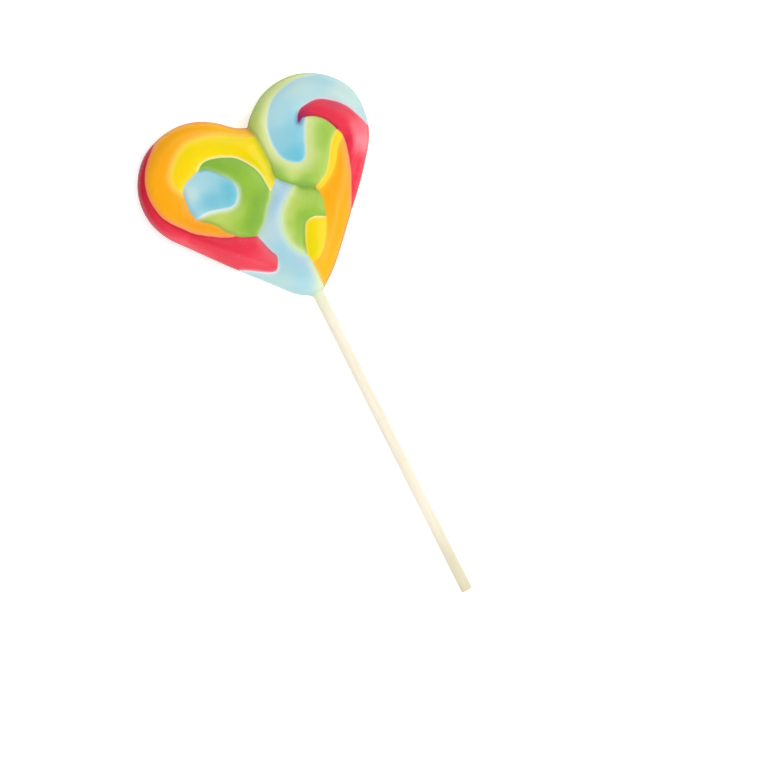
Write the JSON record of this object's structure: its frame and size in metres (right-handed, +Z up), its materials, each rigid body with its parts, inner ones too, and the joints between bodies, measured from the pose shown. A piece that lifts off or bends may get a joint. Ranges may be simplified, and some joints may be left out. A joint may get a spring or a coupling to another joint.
{
  "type": "heart swirl lollipop",
  "caption": "Flat heart-shaped boiled-sugar lollipop of red, orange, yellow, green and blue strands swirled together, on a round pale wooden stick.",
  "frame": {"origin": "on the candy's flat underside, straight below the inner end of the stick", "axes": "+Z up from the underside that it rests on to the shown face, +Y along the stick to the top of the heart, +X across the heart to the lobe with the red hook"},
  "size_m": [0.0829, 0.1851, 0.0118],
  "materials": {
    "red_sugar": "glossy boiled sugar",
    "orange_sugar": "glossy boiled sugar",
    "yellow_sugar": "glossy boiled sugar",
    "green_sugar": "glossy boiled sugar",
    "pale_green_sugar": "glossy boiled sugar",
    "blue_sugar": "glossy boiled sugar",
    "pale_blue_sugar": "glossy boiled sugar",
    "wood": "bare pale wood, smooth turned dowel"
  },
  "bodies": {
    "root": {"strand_red_left": "red_sugar", "strand_red_right": "red_sugar", "strand_orange_left": "orange_sugar", "strand_orange_right": "orange_sugar", "strand_yellow_left": "yellow_sugar", "strand_yellow_right": "yellow_sugar", "strand_yellow_leaf": "yellow_sugar", "strand_green_left": "green_sugar", "strand_green_leaf": "green_sugar", "strand_green_right": "pale_green_sugar", "strand_blue_left": "blue_sugar", "strand_blue_right": "pale_blue_sugar", "strand_blue_stem": "pale_blue_sugar", "stick": "wood"}
  },
  "joints": []
}
